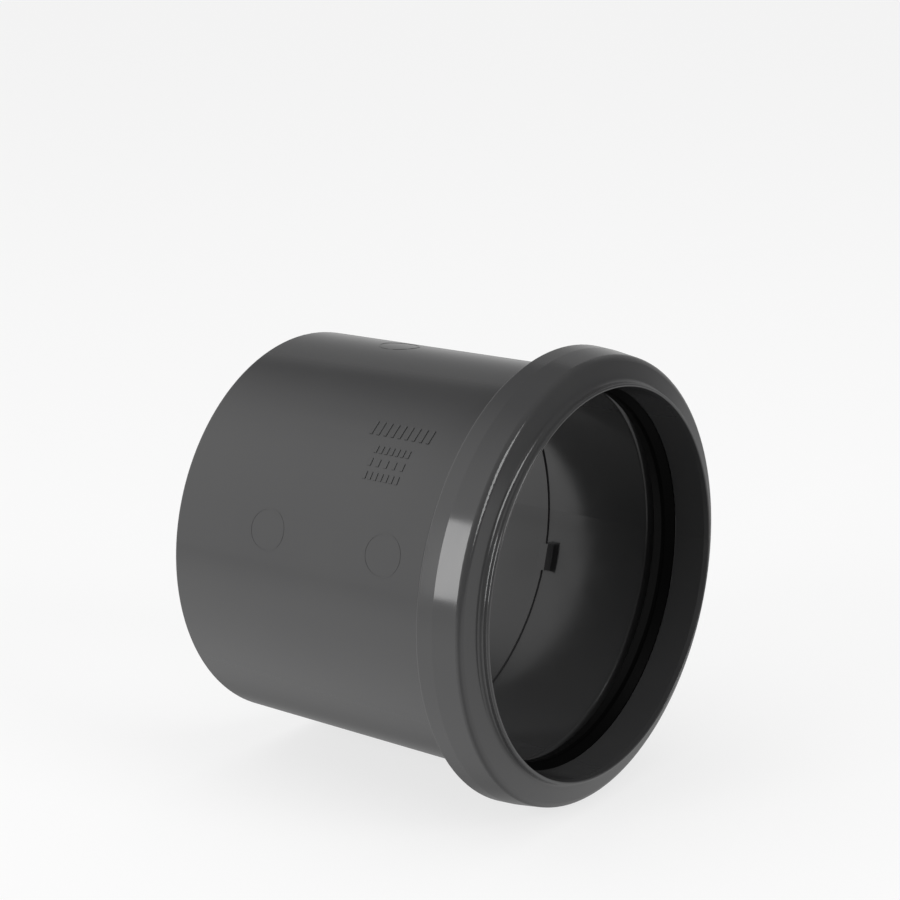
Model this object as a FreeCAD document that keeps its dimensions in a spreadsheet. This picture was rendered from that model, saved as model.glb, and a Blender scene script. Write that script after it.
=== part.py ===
"""Push fit coupling for a 110 mm soil pipe: body, seal retaining cap and ring seal.

Millimetres. +X runs along the axis and out of the push-fit mouth, +Z is up, and the
origin is on the axis at the register step, where the two bores meet.
"""
import FreeCAD, Part
import math
import os

import Sketcher

Vector = FreeCAD.Vector

# ---------------------------------------------------------------- sizes

# Sizes that can be set by themselves. Angles are in degrees, about +X from +Y towards +Z.
DRIVING = [
    # the pipe, and how far each ring of the bore stands off its surface
    ("pipe_radius", 55.1),
    ("socket_gap", 0.1),
    ("bore_gap", 0.65),
    ("throat_gap", 0.65),
    ("mouth_gap", 1.4),
    ("seal_bite", 1.1),
    # body
    ("socket_depth", 53.1),
    ("mouth_depth", 58.2),
    ("tube_wall", 3.95),
    ("pocket_rise", 1.25),
    ("bell_wall", 2.9),
    ("flank_lead", 0.4),
    ("pocket_setback", 1.21),
    ("pocket_length", 5.91),
    ("ledge_gap", 0.4),
    ("mouth_slope", 50.0),
    ("bore_rounding", 0.8),
    ("socket_chamfer", 1.2),
    ("end_rounding", 0.8),
    ("bell_chamfer", 0.5),
    ("lug_width", 8.5),
    ("lug_length", 2.8),
    ("lug_reach", 3.0),
    ("lug_angle", -15.8),
    # cap
    ("cap_length", 17.1),
    ("cap_gap", 0.1),
    ("flank_gap", 0.2),
    ("skirt_wall", 2.98),
    ("brow_length", 5.25),
    ("brow_drop", 0.39),
    ("crest_taper", 1.64),
    ("hook_bite", 0.8),
    ("front_wall", 3.0),
    ("lip_height", 2.45),
    ("lip_wall", 0.95),
    ("face_slope", 1.2),
    ("sleeve_wall", 2.5),
    ("relief_depth", 1.6),
    ("chamfer_length", 1.6),
    ("chamfer_depth", 0.4),
    ("shoulder_rounding", 2.0),
    ("rear_rounding", 0.65),
    ("foot_rounding", 1.2),
    ("rim_rounding", 0.55),
    ("lip_rounding", 0.35),
    ("sleeve_rounding", 0.4),
    # seal
    ("seal_gap", 0.05),
    ("bead_length", 4.1),
    ("bead_depth", 3.15),
    ("ridge_room", 0.6),
    ("ridge_gap", 0.1),
    ("land_offset", 2.4),
    ("land_length", 1.2),
    ("crest_rounding", 0.7),
    ("tail_length", 2.9),
    ("tail_rise", 0.6),
    ("tail_wall", 0.9),
    ("notch_width", 1.0),
    ("notch_length", 2.8),
    # moulded marks
    ("mark_root", 0.6),
    ("stroke_raise", 0.2),
    ("stroke_width", 0.9),
    ("name_height", 4.4),
    ("name_start", 4.6),
    ("name_span", 20.6),
    ("name_angle", 130.0),
    ("line_height", 2.3),
    ("line_start", 9.2),
    ("line_span", 12.0),
    ("line_angle", 136.4),
    ("line_step", 3.9),
    ("ring_radius", 6.2),
    ("ring_line", 0.45),
    ("ring_raise", 0.08),
    ("ring_stock", 1.0),
    ("near_angle", 164.2),
    ("top_angle", 86.7),
    ("rear_ring_place", -18.8),
    ("front_ring_place", 22.6),
]

# Places worked out from the sizes above.
DERIVED = [
    ("socket_radius", "pipe_radius + socket_gap"),
    ("bore_radius", "pipe_radius + bore_gap"),
    ("throat_radius", "pipe_radius + throat_gap"),
    ("mouth_radius", "pipe_radius + mouth_gap"),
    ("seal_radius", "pipe_radius - seal_bite"),
    ("tube_radius", "socket_radius + tube_wall"),
    ("pocket_radius", "tube_radius + pocket_rise"),
    ("bell_radius", "pocket_radius + bell_wall"),
    ("lug_radius", "pipe_radius - lug_reach"),
    ("socket_place", "-socket_depth"),
    # cap outside, from the rim backwards
    ("cap_rear_place", "mouth_depth - cap_length"),
    ("skirt_radius", "bell_radius + cap_gap"),
    ("crest_radius", "skirt_radius + skirt_wall"),
    ("brow_place", "cap_rear_place + brow_length"),
    ("brow_radius", "crest_radius - brow_drop"),
    ("hook_radius", "bell_radius - hook_bite"),
    ("hook_place", "cap_rear_place + skirt_radius - hook_radius"),
    ("lip_radius", "mouth_radius + lip_wall"),
    ("lip_foot_place", "mouth_depth - lip_height"),
    ("shoulder_place", "lip_foot_place - face_slope"),
    ("shoulder_radius", "crest_radius - crest_taper"),
    ("wall_place", "shoulder_place - front_wall"),
    ("chamfer_place", "mouth_depth - chamfer_length"),
    ("chamfer_radius", "mouth_radius - chamfer_depth"),
    ("sleeve_radius", "throat_radius + sleeve_wall"),
    ("relief_place", "wall_place + relief_depth"),
    # bell of the body: the cap's hook snaps over its shoulder, just clear of the neck behind
    ("neck_radius", "hook_radius - flank_gap"),
    ("shoulder_start", "cap_rear_place + bell_radius - neck_radius"),
    ("bell_end_place", "wall_place - cap_gap"),
    ("pocket_floor_place", "cap_rear_place + pocket_setback"),
    ("bore_mouth_place", "pocket_floor_place - pocket_length"),
    ("ledge_radius", "pocket_radius - seal_gap - bead_depth + ledge_gap"),
    ("ledge_front_place", "pocket_floor_place - pocket_radius + ledge_radius"),
    ("ledge_rear_place", "bore_mouth_place + (ledge_radius - bore_radius) / tan(mouth_slope * 1deg)"),
    ("flank_place", "bore_mouth_place - flank_lead"),
    ("neck_place", "flank_place + neck_radius - tube_radius"),
    # seal, from the pocket floor forwards
    ("seal_shift", "seal_gap * sqrt(2)"),
    ("bead_radius", "pocket_radius - seal_gap"),
    ("bead_rear_place", "pocket_floor_place - seal_gap + seal_shift"),
    ("bead_front_place", "bead_rear_place + bead_length"),
    ("bead_foot_radius", "bead_radius - bead_depth"),
    ("bead_foot_place", "bead_rear_place - bead_depth"),
    ("sleeve_place", "bead_front_place + seal_gap"),
    ("ridge_radius", "sleeve_radius + ridge_gap"),
    ("ridge_place", "wall_place - ridge_room"),
    ("land_front_place", "bead_front_place - land_offset"),
    ("land_rear_place", "land_front_place - land_length"),
    ("seal_mouth_radius", "throat_radius + seal_gap"),
    ("tail_place", "land_rear_place - tail_length"),
    ("tail_radius", "seal_radius + tail_rise"),
    ("tail_top_radius", "tail_radius + tail_wall"),
    ("notch_place", "bead_foot_place + notch_length"),
    ("notch_radius", "bead_foot_radius - notch_width"),
    # moulded marks stand on the tube's outside
    ("mark_level", "tube_radius - mark_root"),
    ("stroke_height", "mark_root + stroke_raise"),
    ("ring_height", "mark_root + ring_stock"),
    ("ring_hole_radius", "ring_radius - ring_line"),
    ("ring_top_radius", "tube_radius + ring_raise"),
    ("trim_radius", "tube_radius + 2 * ring_stock"),
    ("trim_rear_place", "rear_ring_place - 2 * ring_radius"),
    ("trim_front_place", "front_ring_place + 2 * ring_radius"),
    ("name_pitch_span", "name_span - stroke_width"),
    ("line_pitch_span", "line_span - stroke_width"),
    ("second_line_angle", "line_angle + line_step"),
    ("third_line_angle", "line_angle + 2 * line_step"),
]

NAME_STROKES = 9
LINE_STROKES = [7, 5, 7]
LUG_COUNT = 4

doc = FreeCAD.newDocument("push_fit_coupling")
sheet = doc.addObject("Spreadsheet::Sheet", "dims")


def fill_sheet():
    """Write every size and every derived place into the sheet, one named cell a row."""
    rows = [(name, str(value)) for name, value in DRIVING]
    rows += [(name, "=" + formula) for name, formula in DERIVED]
    for row, (name, content) in enumerate(rows, start=1):
        sheet.set("A%d" % row, name)
        sheet.set("B%d" % row, content)
        sheet.setAlias("B%d" % row, name)
    doc.recompute()


def size(name):
    """The present value of a named cell."""
    return float(sheet.get(name))


# ---------------------------------------------------------------- helpers


def origin_part(body, role):
    """One of the body's own origin planes or axes."""
    for item in body.Origin.OriginFeatures:
        if item.Role == role:
            return item
    raise ValueError("no origin feature " + role)


def new_sketch(body, label, plane):
    """A sketch on one of the body's origin planes."""
    sketch = body.newObject("Sketcher::SketchObject", label)
    sketch.AttachmentSupport = (origin_part(body, plane), [""])
    sketch.MapMode = "FlatFace"
    return sketch


def fix_coordinate(sketch, kind, edge, end, name):
    """Hold one coordinate of an edge's end at the named size, measured from the origin."""
    value = 0.0 if name == "zero" else size(name)
    if name == "zero":
        axis = -2 if kind == "DistanceX" else -1
        sketch.addConstraint(Sketcher.Constraint("PointOnObject", edge, end, axis))
    elif value > 0:
        index = sketch.addConstraint(Sketcher.Constraint(kind, -1, 1, edge, end, value))
        sketch.setExpression("Constraints[%d]" % index, "dims." + name)
    else:
        index = sketch.addConstraint(Sketcher.Constraint(kind, edge, end, -1, 1, -value))
        sketch.setExpression("Constraints[%d]" % index, "-dims." + name)


def place_of(name):
    return 0.0 if name == "zero" else size(name)


def draw_outline(sketch, corners):
    """A closed outline of straight edges through the named corners."""
    points = [Vector(place_of(across), place_of(out), 0) for across, out in corners]
    for start, finish in zip(points, points[1:] + points[:1]):
        sketch.addGeometry(Part.LineSegment(start, finish))
    for edge, (across, out) in enumerate(corners):
        sketch.addConstraint(Sketcher.Constraint("Coincident", edge, 2, (edge + 1) % len(corners), 1))
        fix_coordinate(sketch, "DistanceX", edge, 1, across)
        fix_coordinate(sketch, "DistanceY", edge, 1, out)


def turn_profile(body, label, corners):
    """The outline through the named corners, turned a full circle about the X axis."""
    sketch = new_sketch(body, label + "_profile", "XY_Plane")
    draw_outline(sketch, corners)
    turned = body.newObject("PartDesign::Revolution", label)
    turned.Profile = sketch
    turned.ReferenceAxis = (sketch, ["H_Axis"])
    turned.Angle = 360
    doc.recompute()
    return turned


def circles_at(feature, spots):
    """Names of the round edges about the X axis that lie at the named (place, radius) spots."""
    found = []
    for across, out in spots:
        matches = []
        for number, edge in enumerate(feature.Shape.Edges, start=1):
            if not isinstance(edge.Curve, Part.Circle):
                continue
            centre = edge.Curve.Center
            on_axis = math.hypot(centre.y, centre.z) < 1e-4
            same_place = abs(centre.x - place_of(across)) < 1e-3
            if on_axis and same_place and abs(edge.Curve.Radius - size(out)) < 1e-3:
                matches.append("Edge%d" % number)
        if not matches:
            raise ValueError("no round edge at %s, %s" % (across, out))
        found += matches
    return found


def ease(body, kind, label, base, edges, name):
    """A fillet or a chamfer of the named size on the given edges."""
    feature = body.newObject("PartDesign::" + kind, label)
    feature.Base = (base, edges)
    setting = "Radius" if kind == "Fillet" else "Size"
    setattr(feature, setting, size(name))
    feature.setExpression(setting, "dims." + name)
    doc.recompute()
    return feature


def pad(body, label, sketch, length_name):
    """A pad of the named length along the sketch's normal."""
    feature = body.newObject("PartDesign::Pad", label)
    feature.Profile = sketch
    feature.setExpression("Length", "dims." + length_name)
    doc.recompute()
    return feature


def lay_on_tube(sketch, angle_name):
    """Turn a sketch about X until it lies square to the tube's radius at the named angle."""
    turn = "dims.%s * 1deg" % angle_name
    sketch.AttachmentOffset = FreeCAD.Placement(Vector(), FreeCAD.Rotation(Vector(1, 0, 0), 0))
    sketch.setExpression("AttachmentOffset.Base.y", "dims.mark_level * cos(%s) * 1mm" % turn)
    sketch.setExpression("AttachmentOffset.Base.z", "dims.mark_level * sin(%s) * 1mm" % turn)
    sketch.setExpression("AttachmentOffset.Rotation.Angle", "%s - 90deg" % turn)
    doc.recompute()


# ---------------------------------------------------------------- coupler body


def add_lugs(body, base):
    """Stop lugs in front of the register step, so that neither pipe passes it."""
    sketch = new_sketch(body, "lug_outline", "YZ_Plane")
    sketch.AttachmentOffset = FreeCAD.Placement(Vector(), FreeCAD.Rotation(Vector(0, 0, 1), 0))
    sketch.setExpression("AttachmentOffset.Rotation.Angle", "dims.lug_angle * 1deg")
    low, high = -size("lug_width") / 2, size("lug_width") / 2
    inner, outer = size("lug_radius"), (size("bore_radius") + size("tube_radius")) / 2
    points = [Vector(inner, low, 0), Vector(outer, low, 0), Vector(outer, high, 0), Vector(inner, high, 0)]
    for start, finish in zip(points, points[1:] + points[:1]):
        sketch.addGeometry(Part.LineSegment(start, finish))
    for edge in range(4):
        sketch.addConstraint(Sketcher.Constraint("Coincident", edge, 2, (edge + 1) % 4, 1))
    sketch.addConstraint(Sketcher.Constraint("Horizontal", 0))
    sketch.addConstraint(Sketcher.Constraint("Vertical", 1))
    sketch.addConstraint(Sketcher.Constraint("Horizontal", 2))
    sketch.addConstraint(Sketcher.Constraint("Symmetric", 3, 1, 3, 2, -1))
    width = sketch.addConstraint(Sketcher.Constraint("DistanceY", 1, 1, 1, 2, size("lug_width")))
    near = sketch.addConstraint(Sketcher.Constraint("DistanceX", -1, 1, 0, 1, inner))
    far = sketch.addConstraint(Sketcher.Constraint("DistanceX", -1, 1, 0, 2, outer))
    sketch.setExpression("Constraints[%d]" % width, "dims.lug_width")
    sketch.setExpression("Constraints[%d]" % near, "dims.lug_radius")
    sketch.setExpression("Constraints[%d]" % far, "(dims.bore_radius + dims.tube_radius) / 2")
    lug = pad(body, "lug", sketch, "lug_length")
    lugs = body.newObject("PartDesign::PolarPattern", "lugs")
    lugs.Originals = [lug]
    lugs.Axis = (origin_part(body, "X_Axis"), [""])
    lugs.Angle = 360
    lugs.Occurrences = LUG_COUNT
    body.Tip = lugs
    doc.recompute()
    return lugs


def add_ring(body, label, place_name, angle_name):
    """One witness ring, left standing proud of the tube until the trim cuts it down."""
    sketch = new_sketch(body, label + "_outline", "XY_Plane")
    lay_on_tube(sketch, angle_name)
    centre = Vector(size(place_name), 0, 0)
    upward = Vector(0, 0, 1)
    for edge, radius_name in enumerate(["ring_radius", "ring_hole_radius"]):
        sketch.addGeometry(Part.Circle(centre, upward, size(radius_name)))
        index = sketch.addConstraint(Sketcher.Constraint("Radius", edge, size(radius_name)))
        sketch.setExpression("Constraints[%d]" % index, "dims." + radius_name)
    sketch.addConstraint(Sketcher.Constraint("Coincident", 0, 3, 1, 3))
    sketch.addConstraint(Sketcher.Constraint("PointOnObject", 0, 3, -1))
    fix_coordinate(sketch, "DistanceX", 0, 3, place_name)
    return pad(body, label, sketch, "ring_height")


def trim_rings(body):
    """Cut the witness rings down to an even height all round."""
    corners = [
        ("trim_rear_place", "ring_top_radius"),
        ("trim_front_place", "ring_top_radius"),
        ("trim_front_place", "trim_radius"),
        ("trim_rear_place", "trim_radius"),
    ]
    sketch = new_sketch(body, "trim_profile", "XY_Plane")
    draw_outline(sketch, corners)
    before = body.Tip.Shape.Volume
    trim = body.newObject("PartDesign::Groove", "ring_trim")
    trim.Profile = sketch
    trim.ReferenceAxis = (sketch, ["H_Axis"])
    trim.Angle = 360
    doc.recompute()
    if trim.Shape.Volume >= before:
        raise ValueError("the ring trim cut nothing")
    return trim


def add_strokes(body, label, start_name, span_name, height_name, angle_name, count):
    """A row of plain upright strokes, in place of the moulded lettering."""
    sketch = new_sketch(body, label + "_outline", "XY_Plane")
    lay_on_tube(sketch, angle_name)
    left, right = size(start_name), size(start_name) + size("stroke_width")
    low, high = -size(height_name) / 2, size(height_name) / 2
    points = [Vector(left, low, 0), Vector(right, low, 0), Vector(right, high, 0), Vector(left, high, 0)]
    for first, second in zip(points, points[1:] + points[:1]):
        sketch.addGeometry(Part.LineSegment(first, second))
    for edge in range(4):
        sketch.addConstraint(Sketcher.Constraint("Coincident", edge, 2, (edge + 1) % 4, 1))
    sketch.addConstraint(Sketcher.Constraint("Horizontal", 0))
    sketch.addConstraint(Sketcher.Constraint("Vertical", 1))
    sketch.addConstraint(Sketcher.Constraint("Horizontal", 2))
    sketch.addConstraint(Sketcher.Constraint("Symmetric", 3, 1, 3, 2, -1))
    wide = sketch.addConstraint(Sketcher.Constraint("DistanceX", 0, 1, 0, 2, right - left))
    tall = sketch.addConstraint(Sketcher.Constraint("DistanceY", 1, 1, 1, 2, high - low))
    sketch.setExpression("Constraints[%d]" % wide, "dims.stroke_width")
    sketch.setExpression("Constraints[%d]" % tall, "dims." + height_name)
    fix_coordinate(sketch, "DistanceX", 0, 1, start_name)
    stroke = pad(body, label + "_stroke", sketch, "stroke_height")
    row = body.newObject("PartDesign::LinearPattern", label)
    row.Originals = [stroke]
    row.Direction = (sketch, ["H_Axis"])
    row.setExpression("Length", "dims." + span_name)
    row.Occurrences = count
    body.Tip = row
    doc.recompute()
    return row


def make_coupler_body():
    body = doc.addObject("PartDesign::Body", "coupler_body")
    body.Label = "coupler_body"
    corners = [
        ("socket_place", "socket_radius"),
        ("socket_place", "tube_radius"),
        ("flank_place", "tube_radius"),
        ("neck_place", "neck_radius"),
        ("cap_rear_place", "neck_radius"),
        ("shoulder_start", "bell_radius"),
        ("bell_end_place", "bell_radius"),
        ("bell_end_place", "pocket_radius"),
        ("pocket_floor_place", "pocket_radius"),
        ("ledge_front_place", "ledge_radius"),
        ("ledge_rear_place", "ledge_radius"),
        ("bore_mouth_place", "bore_radius"),
        ("zero", "bore_radius"),
        ("zero", "socket_radius"),
    ]
    shell = turn_profile(body, "shell", corners)
    rear_edge = circles_at(shell, [("socket_place", "tube_radius")])
    shell = ease(body, "Fillet", "end_round", shell, rear_edge, "end_rounding")
    bore_edge = circles_at(shell, [("bore_mouth_place", "bore_radius")])
    shell = ease(body, "Fillet", "bore_round", shell, bore_edge, "bore_rounding")
    socket_edge = circles_at(shell, [("socket_place", "socket_radius")])
    shell = ease(body, "Chamfer", "socket_lead", shell, socket_edge, "socket_chamfer")
    bell_edge = circles_at(shell, [("bell_end_place", "bell_radius")])
    shell = ease(body, "Chamfer", "bell_lead", shell, bell_edge, "bell_chamfer")
    add_lugs(body, shell)
    add_ring(body, "near_rear_ring", "rear_ring_place", "near_angle")
    add_ring(body, "near_front_ring", "front_ring_place", "near_angle")
    add_ring(body, "top_ring", "rear_ring_place", "top_angle")
    trim_rings(body)
    add_strokes(body, "name_row", "name_start", "name_pitch_span", "name_height", "name_angle", NAME_STROKES)
    angles = ["line_angle", "second_line_angle", "third_line_angle"]
    for number, (angle_name, count) in enumerate(zip(angles, LINE_STROKES), start=1):
        label = "small_row_%d" % number
        add_strokes(body, label, "line_start", "line_pitch_span", "line_height", angle_name, count)
    return body


# ---------------------------------------------------------------- seal retaining cap


def make_cap():
    body = doc.addObject("PartDesign::Body", "seal_retaining_cap")
    body.Label = "seal_retaining_cap"
    corners = [
        ("mouth_depth", "mouth_radius"),
        ("mouth_depth", "lip_radius"),
        ("lip_foot_place", "lip_radius"),
        ("shoulder_place", "shoulder_radius"),
        ("brow_place", "brow_radius"),
        ("cap_rear_place", "crest_radius"),
        ("cap_rear_place", "hook_radius"),
        ("hook_place", "skirt_radius"),
        ("wall_place", "skirt_radius"),
        ("wall_place", "pocket_radius"),
        ("relief_place", "sleeve_radius"),
        ("sleeve_place", "sleeve_radius"),
        ("sleeve_place", "throat_radius"),
        ("chamfer_place", "chamfer_radius"),
    ]
    ring = turn_profile(body, "collar", corners)
    roundings = [
        ("shoulder_round", "shoulder_place", "shoulder_radius", "shoulder_rounding"),
        ("rear_round", "cap_rear_place", "crest_radius", "rear_rounding"),
        ("foot_round", "lip_foot_place", "lip_radius", "foot_rounding"),
        ("rim_round", "mouth_depth", "lip_radius", "rim_rounding"),
        ("lip_round", "mouth_depth", "mouth_radius", "lip_rounding"),
        ("sleeve_round", "sleeve_place", "throat_radius", "sleeve_rounding"),
    ]
    for label, across, out, name in roundings:
        ring = ease(body, "Fillet", label, ring, circles_at(ring, [(across, out)]), name)
    return body


# ---------------------------------------------------------------- ring seal


def make_seal():
    body = doc.addObject("PartDesign::Body", "ring_seal")
    body.Label = "ring_seal"
    corners = [
        ("bead_rear_place", "bead_radius"),
        ("ridge_place", "bead_radius"),
        ("ridge_place", "ridge_radius"),
        ("bead_front_place", "ridge_radius"),
        ("bead_front_place", "seal_mouth_radius"),
        ("land_front_place", "seal_radius"),
        ("land_rear_place", "seal_radius"),
        ("tail_place", "tail_radius"),
        ("tail_place", "tail_top_radius"),
        ("notch_place", "notch_radius"),
        ("notch_place", "bead_foot_radius"),
        ("bead_foot_place", "bead_foot_radius"),
    ]
    ring = turn_profile(body, "lip_ring", corners)
    crest = circles_at(ring, [("land_front_place", "seal_radius"), ("land_rear_place", "seal_radius")])
    ease(body, "Fillet", "crest_round", ring, crest, "crest_rounding")
    return body


# ---------------------------------------------------------------- build, check and write


def check(bodies):
    """Stop if any feature failed or any solid isn't whole."""
    doc.recompute()
    for item in doc.Objects:
        if "Invalid" in item.State or "Error" in item.State:
            raise ValueError("%s did not build: %s" % (item.Label, item.State))
    for body in bodies:
        shape = body.Shape
        if shape.isNull() or not shape.isValid() or len(shape.Solids) != 1:
            raise ValueError("%s is not one valid solid" % body.Label)
        print(body.Label, round(shape.Volume, 1), shape.BoundBox)


fill_sheet()
pieces = [make_coupler_body(), make_cap(), make_seal()]
check(pieces)
os.makedirs("parts", exist_ok=True)
for piece in pieces:
    piece.Shape.exportStep("parts/%s.step" % piece.Label)
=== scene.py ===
"""Push fit coupling: materials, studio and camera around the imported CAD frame. Metres, row frame."""
import math

import bmesh
import bpy
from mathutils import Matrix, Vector


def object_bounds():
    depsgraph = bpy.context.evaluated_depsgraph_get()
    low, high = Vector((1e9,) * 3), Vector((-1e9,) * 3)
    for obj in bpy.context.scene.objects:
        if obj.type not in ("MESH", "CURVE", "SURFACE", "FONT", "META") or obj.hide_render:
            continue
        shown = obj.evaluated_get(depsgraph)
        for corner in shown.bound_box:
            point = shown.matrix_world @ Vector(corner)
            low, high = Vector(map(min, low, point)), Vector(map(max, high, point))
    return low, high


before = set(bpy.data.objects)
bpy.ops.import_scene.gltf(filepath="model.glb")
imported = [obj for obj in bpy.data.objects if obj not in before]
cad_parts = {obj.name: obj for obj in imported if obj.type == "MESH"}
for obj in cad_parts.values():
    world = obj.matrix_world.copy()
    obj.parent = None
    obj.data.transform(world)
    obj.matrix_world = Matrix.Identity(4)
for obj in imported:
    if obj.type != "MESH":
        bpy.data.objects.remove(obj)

CAD_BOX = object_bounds()

MM = 0.001

# ---------------------------------------------------------------- camera

CAMERA_AZIMUTH = 37.05
CAMERA_ELEVATION = 14.08
CAMERA_DISTANCE = 613 * MM
CAMERA_LENS = 83.45
AIM_OFFSET = Vector((0, 0, 30.9)) * MM


def direction(azimuth, elevation):
    """The way from the object towards a viewer. Azimuth 0 stands on -Y and 90 on +X."""
    turn, rise = math.radians(azimuth), math.radians(elevation)
    flat = math.cos(rise)
    return Vector((math.sin(turn) * flat, -math.cos(turn) * flat, math.sin(rise)))


def aim(item, target):
    item.rotation_euler = (target - item.location).to_track_quat("-Z", "Y").to_euler()


def make_camera(centre):
    data = bpy.data.cameras.new("camera")
    data.lens = CAMERA_LENS
    data.clip_start = 0.01
    camera = bpy.data.objects.new("camera", data)
    target = centre + AIM_OFFSET
    camera.location = target + direction(CAMERA_AZIMUTH, CAMERA_ELEVATION) * CAMERA_DISTANCE
    aim(camera, target)
    bpy.context.scene.collection.objects.link(camera)
    bpy.context.scene.camera = camera


# ---------------------------------------------------------------- materials


def linear(code):
    """An sRGB hex colour as linear RGBA."""
    parts = [int(code[i:i + 2], 16) / 255 for i in (1, 3, 5)]
    return [p / 12.92 if p <= 0.04045 else ((p + 0.055) / 1.055) ** 2.4 for p in parts] + [1.0]


def add(tree, kind, inputs=None, **settings):
    """Adds a node. Each input is a plain value, or the output socket that feeds it."""
    node = tree.nodes.new(kind)
    for name, value in settings.items():
        setattr(node, name, value)
    for name, value in (inputs or {}).items():
        if isinstance(value, bpy.types.NodeSocket):
            tree.links.new(value, node.inputs[name])
        else:
            node.inputs[name].default_value = value
    return node


def new_material(name):
    material = bpy.data.materials.new(name)
    material.use_nodes = True
    material.node_tree.nodes.clear()
    return material, material.node_tree


def finish_material(tree, shader):
    add(tree, "ShaderNodeOutputMaterial", {"Surface": shader.outputs["BSDF"]})


def per_metre(millimetres):
    """The texture scale that gives a pattern of that size."""
    return 1 / (millimetres * MM)


def moulded_pvc(name):
    """Grey PVC-U, injection moulded: semi-gloss, with the faint ripple of a steel mould's surface."""
    material, tree = new_material(name)
    place = add(tree, "ShaderNodeTexCoord").outputs["Object"]
    cloud = add(tree, "ShaderNodeTexNoise", {"Vector": place, "Scale": per_metre(35), "Detail": 3.0})
    tint = add(tree, "ShaderNodeMix", {
        "Factor": cloud.outputs["Fac"],
        "A": linear("#3d3d3e"),
        "B": linear("#414141"),
    }, data_type="RGBA")
    peel = add(tree, "ShaderNodeTexNoise", {"Vector": place, "Scale": per_metre(0.7), "Detail": 2.0})
    wave = add(tree, "ShaderNodeTexNoise", {"Vector": place, "Scale": per_metre(9), "Detail": 2.0})
    gloss = add(tree, "ShaderNodeMapRange", {
        "Value": wave.outputs["Fac"],
        "From Min": 0.3,
        "From Max": 0.7,
        "To Min": 0.11,
        "To Max": 0.15,
    })
    fine = add(tree, "ShaderNodeBump", {
        "Height": peel.outputs["Fac"],
        "Strength": 0.05,
        "Distance": 0.02 * MM,
    })
    broad = add(tree, "ShaderNodeBump", {
        "Height": wave.outputs["Fac"],
        "Strength": 0.1,
        "Distance": 0.05 * MM,
        "Normal": fine.outputs["Normal"],
    })
    shader = add(tree, "ShaderNodeBsdfPrincipled", {
        "Base Color": tint.outputs["Result"],
        "Roughness": gloss.outputs["Result"],
        "IOR": 1.53,
        "Normal": broad.outputs["Normal"],
    })
    finish_material(tree, shader)
    return material


def moulded_rubber(name):
    """Black EPDM rubber, moulded: very dark and almost without shine, with a faint bloom."""
    material, tree = new_material(name)
    place = add(tree, "ShaderNodeTexCoord").outputs["Object"]
    bloom = add(tree, "ShaderNodeTexNoise", {"Vector": place, "Scale": per_metre(6), "Detail": 4.0})
    tint = add(tree, "ShaderNodeMix", {
        "Factor": bloom.outputs["Fac"],
        "A": linear("#030303"),
        "B": linear("#060606"),
    }, data_type="RGBA")
    grain = add(tree, "ShaderNodeTexNoise", {"Vector": place, "Scale": per_metre(0.4), "Detail": 3.0})
    bump = add(tree, "ShaderNodeBump", {
        "Height": grain.outputs["Fac"],
        "Strength": 0.2,
        "Distance": 0.05 * MM,
    })
    shader = add(tree, "ShaderNodeBsdfPrincipled", {
        "Base Color": tint.outputs["Result"],
        "Roughness": 0.4,
        "IOR": 1.5,
        "Specular IOR Level": 0.06,
        "Normal": bump.outputs["Normal"],
    })
    finish_material(tree, shader)
    return material


def lit_table(name):
    """Matt white acrylic, lit evenly from below, for the floor."""
    material, tree = new_material(name)
    shader = add(tree, "ShaderNodeBsdfPrincipled", {
        "Base Color": linear("#8c8c8c"),
        "Roughness": 0.9,
        "Specular IOR Level": 0.0,
        "Emission Color": linear("#ffffff"),
        "Emission Strength": 0.72,
    })
    finish_material(tree, shader)
    return material


def dress(name, material):
    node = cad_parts[name]
    node.data.materials.clear()
    node.data.materials.append(material)


# ---------------------------------------------------------------- studio

FLOOR_SIDE = 40.0
SOFTBOX_DISTANCE = 2.0
SOFTBOX_WIDTH = 21
SOFTBOX_LIGHT = 5.4
LEFT_SOFTBOX = {"azimuth": -12.8, "elevation": 16, "height": 34}
RIGHT_SOFTBOX = {"azimuth": 89.5, "elevation": 24, "height": 36}
CEILING_LIGHT = 1.1
CEILING_SPREAD = 80

# Each part of the room: the azimuth and elevation of its middle, and its brightness.
LEFT_WALL = (-50, 15)
NEAR_LEFT_TABLE = (-40, -25)
RIGHT_TABLE = (125, -15)
ROOM_LIGHT = 0.12
WALL_LIGHT = 1.05
BACKDROP_LOW = 0.42
BACKDROP_HIGH = 0.22
TABLE_FAR = 0.05
TABLE_LIGHT = 0.28
TABLE_RIGHT = 0.5
TABLE_GLARE = 0.88

# Heights in the room, as the sine of the elevation, and how softly each edge fades.
BACKDROP_FADE = 0.45
BACKDROP_TOP = math.sin(math.radians(39))
BACKDROP_EDGE = 0.05
TABLE_EDGE = math.sin(math.radians(-7))
TABLE_BLUR = 0.015


def make_floor(low):
    """A pale floor that only the camera sees. What the object reflects comes from the world instead."""
    mesh = bpy.data.meshes.new("floor")
    shape = bmesh.new()
    bmesh.ops.create_grid(shape, x_segments=1, y_segments=1, size=FLOOR_SIDE / 2)
    bmesh.ops.translate(shape, verts=shape.verts, vec=(0, 0, low))
    shape.to_mesh(mesh)
    shape.free()
    floor = bpy.data.objects.new("floor", mesh)
    floor.data.materials.append(lit_table("white_light_table"))
    floor.visible_diffuse = False
    floor.visible_glossy = False
    floor.visible_shadow = False
    bpy.context.scene.collection.objects.link(floor)


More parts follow.
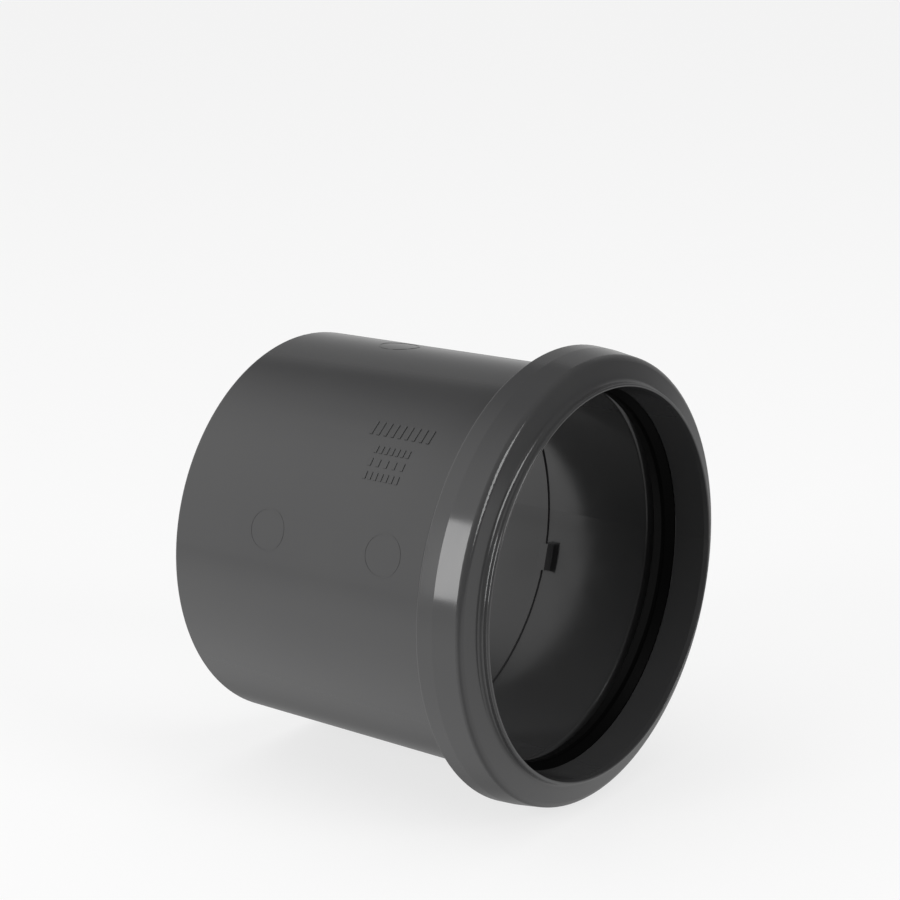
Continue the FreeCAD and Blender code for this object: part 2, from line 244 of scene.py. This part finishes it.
def add_softbox(name, centre, azimuth, elevation, height):
    """A rectangular softbox. Its width and height are the angles it fills, seen from the object."""
    data = bpy.data.lights.new(name, "AREA")
    data.shape = "RECTANGLE"
    data.size = 2 * SOFTBOX_DISTANCE * math.tan(math.radians(SOFTBOX_WIDTH / 2))
    data.size_y = 2 * SOFTBOX_DISTANCE * math.tan(math.radians(height / 2))
    data.energy = SOFTBOX_LIGHT * math.pi * data.size * data.size_y
    light = bpy.data.objects.new(name, data)
    light.location = centre + direction(azimuth, elevation) * SOFTBOX_DISTANCE
    aim(light, centre)
    bpy.context.scene.collection.objects.link(light)


def add_ceiling_light(strength, spread):
    """A wide, even light from above. It leaves no mark of its own in the gloss."""
    data = bpy.data.lights.new("ceiling_light", "SUN")
    data.energy = strength
    data.angle = math.radians(spread)
    light = bpy.data.objects.new("ceiling_light", data)
    light.visible_glossy = False
    bpy.context.scene.collection.objects.link(light)


def smooth_step(tree, value, start, end, low, high):
    """Low before start, high after end, and a smooth climb between."""
    node = add(tree, "ShaderNodeMapRange", {
        "Value": value,
        "From Min": start,
        "From Max": end,
        "To Min": low,
        "To Max": high,
    }, interpolation_type="SMOOTHSTEP")
    return node.outputs["Result"]


def combine(tree, first, second, operation):
    return add(tree, "ShaderNodeMath", {0: first, 1: second}, operation=operation).outputs["Value"]


def facing(tree, way, azimuth, elevation):
    """How nearly the way points at that part of the room: 1 straight at it, -1 straight away."""
    target = direction(azimuth, elevation)
    return add(tree, "ShaderNodeVectorMath", {0: way, 1: target}, operation="DOT_PRODUCT").outputs["Value"]


def make_world():
    """The room: a pale backdrop behind, a bright left wall, a dim ceiling and a white table below."""
    world = bpy.data.worlds.new("studio")
    world.use_nodes = True
    tree = world.node_tree
    tree.nodes.clear()
    way = add(tree, "ShaderNodeTexCoord").outputs["Generated"]
    rise = add(tree, "ShaderNodeSeparateXYZ", {"Vector": way}).outputs["Z"]
    left_wall = smooth_step(tree, facing(tree, way, *LEFT_WALL), 0.38, 0.98, ROOM_LIGHT, WALL_LIGHT)
    under_top = smooth_step(tree, rise, 0.0, BACKDROP_FADE, BACKDROP_LOW, BACKDROP_HIGH)
    cut_off = smooth_step(tree, rise, BACKDROP_TOP - BACKDROP_EDGE, BACKDROP_TOP + BACKDROP_EDGE, 1.0, 0.0)
    behind = smooth_step(tree, facing(tree, way, CAMERA_AZIMUTH + 180, 0), 0.3, 0.7, 0.0, 1.0)
    backdrop = combine(tree, combine(tree, under_top, cut_off, "MULTIPLY"), behind, "MULTIPLY")
    above = combine(tree, left_wall, backdrop, "ADD")
    table = smooth_step(tree, rise, -0.4, -0.05, TABLE_LIGHT, TABLE_FAR)
    near_left = smooth_step(tree, facing(tree, way, *NEAR_LEFT_TABLE), 0.3, 1.05, 0.0, TABLE_GLARE)
    right = smooth_step(tree, facing(tree, way, *RIGHT_TABLE), 0.2, 0.9, 0.0, TABLE_RIGHT)
    below = combine(tree, combine(tree, table, near_left, "ADD"), right, "ADD")
    edge = smooth_step(tree, rise, TABLE_EDGE - TABLE_BLUR, TABLE_EDGE + TABLE_BLUR, 0.0, 1.0)
    level = add(tree, "ShaderNodeMix", {"Factor": edge, "A": below, "B": above}, data_type="FLOAT")
    sky = add(tree, "ShaderNodeBackground", {
        "Color": (1.0, 1.0, 1.0, 1.0),
        "Strength": level.outputs["Result"],
    })
    add(tree, "ShaderNodeOutputWorld", {"Surface": sky.outputs["Background"]})
    bpy.context.scene.world = world


# ---------------------------------------------------------------- build

low, high = CAD_BOX
centre = (low + high) / 2
pvc = moulded_pvc("moulded_grey_pvc")
dress("coupler_body", pvc)
dress("seal_retaining_cap", pvc)
dress("ring_seal", moulded_rubber("moulded_black_rubber"))

make_floor(low.z)
make_world()
add_softbox("left_softbox", centre, **LEFT_SOFTBOX)
add_softbox("right_softbox", centre, **RIGHT_SOFTBOX)
add_ceiling_light(CEILING_LIGHT, CEILING_SPREAD)
make_camera(centre)
bpy.context.scene.view_settings.view_transform = "Standard"
